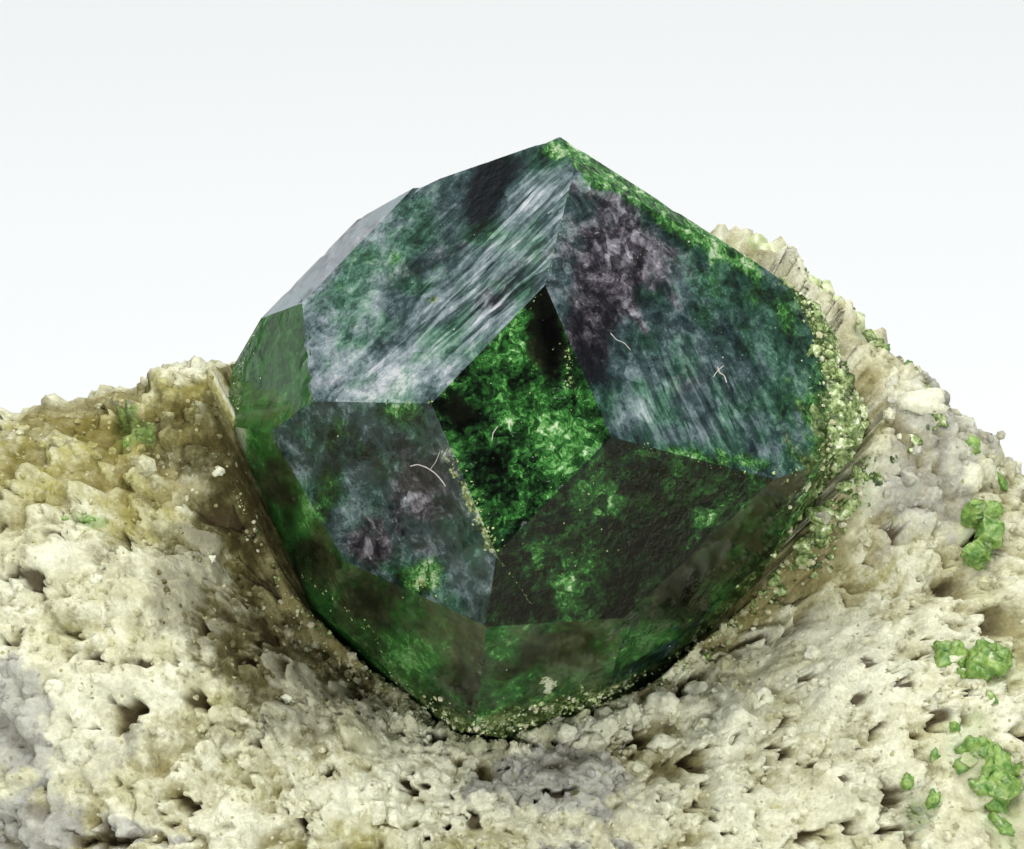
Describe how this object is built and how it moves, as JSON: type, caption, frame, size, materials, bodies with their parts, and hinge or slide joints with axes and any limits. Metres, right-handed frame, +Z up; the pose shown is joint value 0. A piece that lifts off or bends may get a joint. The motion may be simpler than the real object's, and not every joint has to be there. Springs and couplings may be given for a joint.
{
  "type": "garnet crystal on matrix",
  "caption": "Green demantoid garnet crystal seated in a hollow of cream porous rock with small green garnet grains; a mineral display specimen on a flat base.",
  "frame": {"origin": "middle of the flat base, on the surface that the specimen stands on", "axes": "+X to the right along the rock, +Y away from the side that shows the crystal, +Z up"},
  "size_m": [0.0214, 0.0148, 0.0125],
  "materials": {
    "garnet": "vitreous, deep green, see-through where it is lit",
    "garnet_crust": "vitreous, small grains",
    "matrix": "rough, granular and porous"
  },
  "bodies": {
    "root": {"garnet_crystal": "garnet", "matrix_rock": "matrix", "garnet_crust_upper": "garnet_crust", "garnet_crust_middle": "garnet_crust", "garnet_crust_lower": "garnet_crust"}
  },
  "joints": []
}
